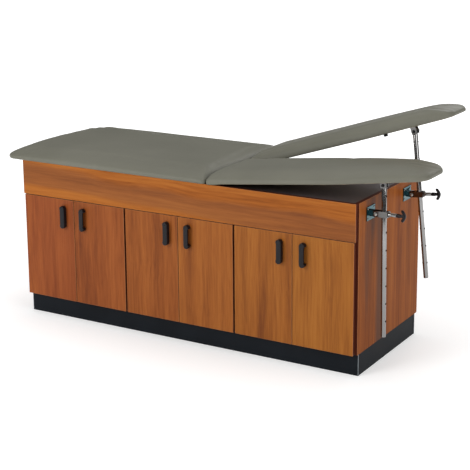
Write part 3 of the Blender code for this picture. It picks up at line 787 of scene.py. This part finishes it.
def screw_into(shape, place, radius, height):
    """A pan-head screw with a cross recess, its seat at the place's origin and its axis along +Z."""
    lathe(
        shape,
        [
            (0, -0.0004),
            (radius, -0.0004),
            (radius, height * 0.30),
            (radius * 0.92, height * 0.66),
            (radius * 0.68, height * 0.92),
            (radius * 0.40, height),
            (radius * 0.34, height * 0.70),
            (0, height * 0.34),
        ],
        place,
        20,
    )
    for turn in (0, math.pi / 2):
        spin = place @ Matrix.Rotation(turn + 0.4, 4, "Z")
        slot_box = bmesh.ops.create_cube(shape, size=1.0)["verts"]
        sized = Matrix.Diagonal((radius * 1.1, radius * 0.16, height * 0.10, 1))
        lifted = spin @ Matrix.Translation((0, 0, height * 0.93)) @ sized
        bmesh.ops.transform(shape, verts=slot_box, matrix=lifted)


def screws(name, places, axis, body, radius=0.0036, height=0.0024, slot="chrome"):
    shape = bmesh.new()
    for place in places:
        screw_into(shape, Matrix.Translation(place) @ aim(axis), radius, height)
    settle(shape)
    return publish(shape, name, body, slot)


def make_guide_hardware(side):
    low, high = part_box(f"guide_bracket_{side}")
    inset = 0.0085
    face = low.x + 0.0035
    places = [
        (face, y, z)
        for y in (low.y + inset, high.y - inset)
        for z in (low.z + inset, high.z - inset)
    ]
    screws(f"flange_screws_{side}", places, (1, 0, 0), "cabinet")
    bolt_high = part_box(f"guide_bolt_{side}")[1]
    pivot = Vector(joints[f"guide_{side}_turn"]["pos_m"])
    shape = bmesh.new()
    place = Matrix.Translation((pivot.x, bolt_high.y, pivot.z)) @ aim((0, 1, 0))
    lathe(
        shape,
        [(0, -0.001), (0.0062, -0.001), (0.0066, 0.0004), (0.0066, 0.0036), (0.0052, 0.0046)]
        + [(0.0047, 0.0066), (0.0030, 0.0084), (0, 0.0090)],
        place,
        6,
    )
    settle(shape)
    publish(shape, f"brass_cap_nut_{side}", "cabinet", "steel", FINISH["brass"], smooth=20)


def sweep(shape, path, radii, place, segments=16):
    """Adds a closed round bar along a path that lies in the place's x-z plane."""
    rings = []
    for i, (x, z) in enumerate(path):
        before, after = path[max(i - 1, 0)], path[min(i + 1, len(path) - 1)]
        along = Vector((after[0] - before[0], 0, after[1] - before[1])).normalized()
        out = Vector((along.z, 0, -along.x))
        ring = []
        for k in range(segments):
            turn = 2 * math.pi * k / segments
            spoke = out * math.cos(turn) + Vector((0, 1, 0)) * math.sin(turn)
            ring.append(shape.verts.new(place @ (Vector((x, 0, z)) + spoke * radii[i])))
        rings.append(ring)
    for low, high in zip(rings, rings[1:]):
        for k in range(segments):
            j = (k + 1) % segments
            shape.faces.new((low[k], low[j], high[j], high[k]))
    shape.faces.new(rings[0])
    shape.faces.new(rings[-1])


def make_handle(side):
    """The T-handle, fuller in the hand: a stem and a bowed bar with rounded ends."""
    low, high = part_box(f"plunger_handle_{side}")
    across = Vector(joints[f"plunger_{side}_draw"]["axis"])
    up = Vector((-across.z, 0, across.x))
    rod_low, rod_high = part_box(f"plunger_rod_{side}")
    rod_middle = (rod_low + rod_high) / 2
    middle = Vector(((low.x + high.x) / 2, (low.y + high.y) / 2, (low.z + high.z) / 2))
    reach = (middle - rod_middle).dot(across)
    hub = rod_middle + across * reach
    place = Matrix.Translation(hub) @ Matrix(
        ((across.x, 0, up.x, 0), (0, 1, 0, 0), (across.z, 0, up.z, 0), (0, 0, 0, 1))
    )
    shape = bmesh.new()
    turned = place @ aim((1, 0, 0))
    lathe(
        shape,
        [(0, -0.0190), (0.0060, -0.0190), (0.0078, -0.0168), (0.0080, -0.006), (0.0066, 0.002)]
        + [(0.0066, 0.010), (0.0078, 0.0165), (0.0050, 0.0215), (0, 0.0228)],
        turned,
        24,
    )
    path, radii = [], []
    for i in range(17):
        share = -1 + i / 8
        path.append((0.0150 - 0.0125 * share * share, 0.0240 * share))
        end = math.sqrt(max(1 - ((abs(share) - 0.86) / 0.14) ** 2, 0.04)) if abs(share) > 0.86 else 1
        radii.append((0.0074 - 0.0018 * abs(share)) * end)
    sweep(shape, path, radii, place)
    settle(shape)
    handle = publish(shape, f"plunger_{side}_grip", None, "black_plastic")
    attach(handle, body_of[f"plunger_handle_{side}"])
    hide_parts(f"plunger_handle_{side}")


def box_into(shape, low, high, place=None):
    size = Vector(high) - Vector(low)
    middle = (Vector(high) + Vector(low)) / 2
    verts = bmesh.ops.create_cube(shape, size=1.0)["verts"]
    matrix = Matrix.Translation(middle) @ Matrix.Diagonal((*size, 1))
    bmesh.ops.transform(shape, verts=verts, matrix=(place or Matrix()) @ matrix)


def make_cup_hinges(number):
    """Concealed cup hinges inside a door: the cup and its flange on the door, the plate on the cabinet."""
    low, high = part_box(f"door_{number}")
    pivot = Vector(joints[f"door_{number}_swing"]["pos_m"])
    way = 1 if pivot.x < (low.x + high.x) / 2 else -1
    cups, plates = bmesh.new(), bmesh.new()
    wall = hinge_wall(number, way)
    for z in (low.z + 0.060, high.z - 0.060):
        x = pivot.x + way * 0.034
        seat = Matrix.Translation((x, high.y - 0.0005, z)) @ aim((0, 1, 0))
        lathe(
            cups,
            [(0, 0), (0.0200, 0), (0.0206, 0.0004), (0.0206, 0.0014), (0.0196, 0.0020), (0.0160, 0.0020)]
            + [(0.0152, 0.0010), (0, 0.0010)],
            seat,
            32,
        )
        for dz in (-0.022, 0.022):
            spot = Matrix.Translation((x + way * 0.004, high.y - 0.0005, z + dz)) @ aim((0, 1, 0))
            screw_into(cups, spot, 0.0034, 0.0016)
        box_into(
            plates,
            (wall - 0.0010, high.y + 0.024, z - 0.023),
            (wall + 0.0010, high.y + 0.066, z + 0.023),
        )
        for dz in (-0.016, 0.016):
            spot = Matrix.Translation((wall + way * 0.001, high.y + 0.034, z + dz)) @ aim((way, 0, 0))
            screw_into(plates, spot, 0.0032, 0.0016)
        arm_low, arm_high = sorted((wall + way * 0.0008, wall + way * 0.0050))
        box_into(plates, (arm_low, high.y + 0.026, z - 0.006), (arm_high, high.y + 0.062, z + 0.006))
    settle(cups)
    settle(plates)
    publish(cups, f"door_{number}_hinge_cups", f"door_{number}", "steel")
    publish(plates, f"door_{number}_hinge_plates", "cabinet", "steel")


def hinge_wall(number, way):
    """The face of the panel that carries a door's hinges."""
    panel = {1: "end_panel_left", 2: "partition_left", 3: "partition_left"}
    panel.update({4: "partition_right", 5: "partition_right", 6: "end_panel_right"})
    low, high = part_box(panel[number])
    return high.x if way > 0 else low.x


def make_shelf_pins():
    shape = bmesh.new()
    for bay in ("left", "middle", "right"):
        low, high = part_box(f"shelf_{bay}")
        for x, way in ((low.x, 1), (high.x, -1)):
            for y in (low.y + 0.045, high.y - 0.045):
                place = Matrix.Translation((x - way * 0.0022, y, low.z - 0.0032)) @ aim((way, 0, 0))
                lathe(
                    shape,
                    [(0, 0), (0.0027, 0), (0.0027, 0.0085), (0.0022, 0.0092), (0, 0.0092)],
                    place,
                    16,
                )
    settle(shape)
    publish(shape, "shelf_pins", "cabinet", "steel")


def make_strut(side):
    """The perforated tube again, rounder, with a rolled foot, and a near-black disc laid on it at each hole as
    painted shade for the tube's dark inside.
    """
    pivot = Vector(joints[f"strut_{side}_swing"]["pos_m"])
    across = Vector(joints[f"plunger_{side}_draw"]["axis"])
    up = Vector((-across.z, 0, across.x))
    radius, eye, bottom = TUBE_RADIUS, TUBE_EYE, -TUBE_LENGTH
    place = Matrix.Translation(pivot) @ Matrix(
        ((across.x, 0, up.x, 0), (0, 1, 0, 0), (across.z, 0, up.z, 0), (0, 0, 0, 1))
    )
    shape = bmesh.new()
    inner = TUBE_RADIUS - TUBE_WALL
    lathe(
        shape,
        [
            (0, bottom + 0.120),
            (inner, bottom + 0.120),
            (inner, bottom + 0.0012),
            (inner + 0.0005, bottom),
            (radius - 0.0005, bottom),
            (radius, bottom + 0.0012),
            (radius, eye - 0.005),
            (radius - 0.0014, eye - 0.0022),
            (radius - 0.0042, eye),
            (0, eye),
        ],
        place,
        48,
    )
    settle(shape)
    tube = publish(shape, f"strut_{side}_tube", None, "chrome")
    # The holes are not cut: a flat near-black disc with a low rim sits on the tube at each one, painted shade
    # standing in for the shaded inside of the hollow tube. It borrows the rubber finish only for its near-black.
    hole_shade_discs = bmesh.new()
    for i in range(HOLE_COUNT):
        height = bottom + LOWEST_HOLE + i * HOLE_PITCH
        for direction in (1, -1):
            spot = Matrix.Translation((direction * (radius - 0.0006), 0, height))
            seat = place @ spot @ aim((direction, 0, 0))
            lathe(
                hole_shade_discs,
                [(0, 0.0007), (0.0033, 0.0007), (0.0040, 0.00085)]
                + [(0.0043, 0.0005), (0.0043, -0.0010), (0, -0.0010)],
                seat,
                24,
            )
    settle(hole_shade_discs)
    holes = publish(hole_shade_discs, f"strut_{side}_holes", None, "chrome", FINISH["rubber"])
    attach(tube, f"strut_{side}")
    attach(holes, f"strut_{side}")
    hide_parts(f"strut_tube_{side}")


def make_plinth_trim():
    low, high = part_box("plinth_front")
    back_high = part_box("plinth_back")[1]
    shape = bmesh.new()
    for x, y in ((high.x, low.y), (low.x, low.y), (high.x, back_high.y), (low.x, back_high.y)):
        place = Matrix.Translation((x, y, 0.0005))
        lathe(shape, [(0, 0), (0.0013, 0), (0.0013, high.z - 0.002), (0, high.z - 0.002)], place, 12)
    settle(shape)
    publish(shape, "plinth_corner_trim", "cabinet", "plinth", FINISH["edge_trim"])


def make_leg_underside(side):
    """Screws that hold the clevis foot and the hinge leaf under a leg section."""
    lean = leg_lean(side)
    hinge = Vector(joints[f"leg_{side}_lift"]["pos_m"])
    turn = Matrix.Translation(hinge) @ Matrix.Rotation(-lean, 4, "Y")
    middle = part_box(f"clevis_{side}")
    y = (middle[0].y + middle[1].y) / 2 - hinge.y
    shape = bmesh.new()
    down = aim((0, 0, -1))
    for x in (CLEVIS_REACH - 0.0185, CLEVIS_REACH + 0.0185):
        for dy in (-0.010, 0.010):
            screw_into(shape, turn @ Matrix.Translation((x, y + dy, -0.0073)) @ down, 0.0028, 0.0018)
    for dy in (-0.080, -0.020, 0.060):
        screw_into(shape, turn @ Matrix.Translation((0.032, dy, -0.0068)) @ down, 0.0032, 0.0010)
    settle(shape)
    publish(shape, f"leg_screws_{side}", f"leg_{side}", "steel")


def make_back_screws():
    low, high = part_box("back_panel")
    places = []
    for i in range(9):
        x = low.x + 0.03 + (high.x - low.x - 0.06) * i / 8
        places += [(x, high.y, low.z + 0.012), (x, high.y, high.z - 0.024)]
    for z in (0.22, 0.345, 0.47, 0.60):
        for x in (low.x + 0.03, -0.2794, 0.2794, high.x - 0.03):
            places.append((x, high.y, z))
    screws("back_panel_screws", places, (0, 1, 0), "cabinet", 0.0034, 0.0014, "steel")


# ---------------------------------------------------------------- studio


def make_floor():
    shape = bmesh.new()
    bmesh.ops.create_grid(shape, x_segments=8, y_segments=8, size=60)
    mesh = bpy.data.meshes.new("floor")
    shape.to_mesh(mesh)
    shape.free()
    floor = bpy.data.objects.new("floor", mesh)
    bpy.context.scene.collection.objects.link(floor)
    s = Shading("floor_finish")
    s.set("Base Color", s.ramp(s.noise(s.mapped((1, 1, 1)), 1.5, 2.0), [(0, (0.78,) * 3), (1, (0.80,) * 3)]))
    s.set("Roughness", 0.85)
    s.set("Specular IOR Level", 0.05)
    distance = s.node("ShaderNodeVectorMath", operation="LENGTH")
    s.join(s.coordinates.outputs["Object"], distance.inputs[0])
    away = s.math("DIVIDE", distance.outputs["Value"], 6.0, True)
    s.set("Emission Color", (1.0, 1.0, 1.0))
    s.set("Emission Strength", s.spread(away, 0.30, 1.0))
    mesh.materials.append(s.material)


def area_light(name, place, target, size, power, colour=(1, 1, 1)):
    data = bpy.data.lights.new(name, "AREA")
    data.shape = "RECTANGLE"
    data.size, data.size_y = size
    data.energy = power
    data.color = colour
    lamp = bpy.data.objects.new(name, data)
    bpy.context.scene.collection.objects.link(lamp)
    lamp.location = place
    lamp.rotation_euler = (Vector(target) - Vector(place)).to_track_quat("-Z", "Y").to_euler()


def make_light():
    area_light("key", (-2.2, -5.4, 3.2), (0, 0, 0.5), (3.0, 2.4), 190)
    area_light("fill", (5.2, -2.0, 2.6), (0.4, 0, 0.5), (2.2, 2.2), 70)
    area_light("top", (0, 0.4, 4.6), (0, 0, 0.6), (4.2, 2.6), 60)
    area_light("rear", (0.5, 5.0, 3.0), (0, 0, 0.5), (3.5, 2.0), 60)
    world = bpy.data.worlds.new("studio")
    bpy.context.scene.world = world
    world.use_nodes = True
    tree = world.node_tree
    around = tree.nodes.new("ShaderNodeTexCoord")
    parts = tree.nodes.new("ShaderNodeSeparateXYZ")
    tree.links.new(around.outputs["Generated"], parts.inputs[0])
    ramp = tree.nodes.new("ShaderNodeValToRGB")
    for element, (place, level) in zip(ramp.color_ramp.elements, ((0.0, 0.10), (0.55, 0.95))):
        element.position = place
        element.color = (level, level, level, 1)
    tree.links.new(parts.outputs["Z"], ramp.inputs["Fac"])
    lit = tree.nodes["Background"]
    lit.inputs["Strength"].default_value = 0.45
    tree.links.new(ramp.outputs["Color"], lit.inputs["Color"])
    seen = tree.nodes.new("ShaderNodeBackground")
    seen.inputs["Color"].default_value = (1, 1, 1, 1)
    path = tree.nodes.new("ShaderNodeLightPath")
    mixed = tree.nodes.new("ShaderNodeMixShader")
    tree.links.new(path.outputs["Is Camera Ray"], mixed.inputs[0])
    tree.links.new(lit.outputs[0], mixed.inputs[1])
    tree.links.new(seen.outputs[0], mixed.inputs[2])
    tree.links.new(mixed.outputs[0], tree.nodes["World Output"].inputs["Surface"])


def make_camera():
    """At the calibrated place: yaw left of +Y, pitch down, and a small shift down."""
    yaw, pitch, roll = 0.5372, 0.2227, -0.0078
    ahead = Vector((-math.sin(yaw) * math.cos(pitch), math.cos(yaw) * math.cos(pitch), -math.sin(pitch)))
    side = Vector((math.cos(yaw), math.sin(yaw), 0))
    over = side.cross(ahead)
    right = side * math.cos(roll) + over * math.sin(roll)
    above = over * math.cos(roll) - side * math.sin(roll)
    data = bpy.data.cameras.new("camera")
    data.lens = 99.26
    data.sensor_width = 36
    data.shift_y = -0.15
    camera = bpy.data.objects.new("camera", data)
    bpy.context.scene.collection.objects.link(camera)
    camera.matrix_world = Matrix(
        (
            (right.x, above.x, -ahead.x, 2.9662),
            (right.y, above.y, -ahead.y, -4.8075),
            (right.z, above.z, -ahead.z, 2.0188),
            (0, 0, 0, 1),
        )
    )
    bpy.context.scene.camera = camera


# The guide brackets take the teal-tinted metal, a painted reflection.
SPECIAL = {"guide_bracket": "plated", "guide_yoke": "dark_chrome", "clevis": "dark_chrome"}

dress_frame()
make_main_pad()
for which in SIDES:
    make_leg_pad(which)
    make_leg_board(which)
    make_guide_hardware(which)
    make_strut(which)
    make_handle(which)
    make_leg_underside(which)
    for part, width in (
        ("clevis", 0.0008),
        ("clevis_bolt", 0.0),
        ("guide_bracket", 0.0),
        ("guide_bolt", 0.0),
        ("guide_yoke", 0.0),
        ("plunger_barrel", 0.0),
        ("plunger_rod", 0.0),
    ):
        refine(f"{part}_{which}", width, finish=FINISH.get(SPECIAL.get(part)))
for number in range(1, 7):
    refine(f"door_pull_{number}", 0.0)
    make_cup_hinges(number)
make_shelf_pins()
make_panels()
make_plinth_trim()
make_back_screws()
make_floor()
make_light()
make_camera()
bpy.context.scene.view_settings.view_transform = "Standard"
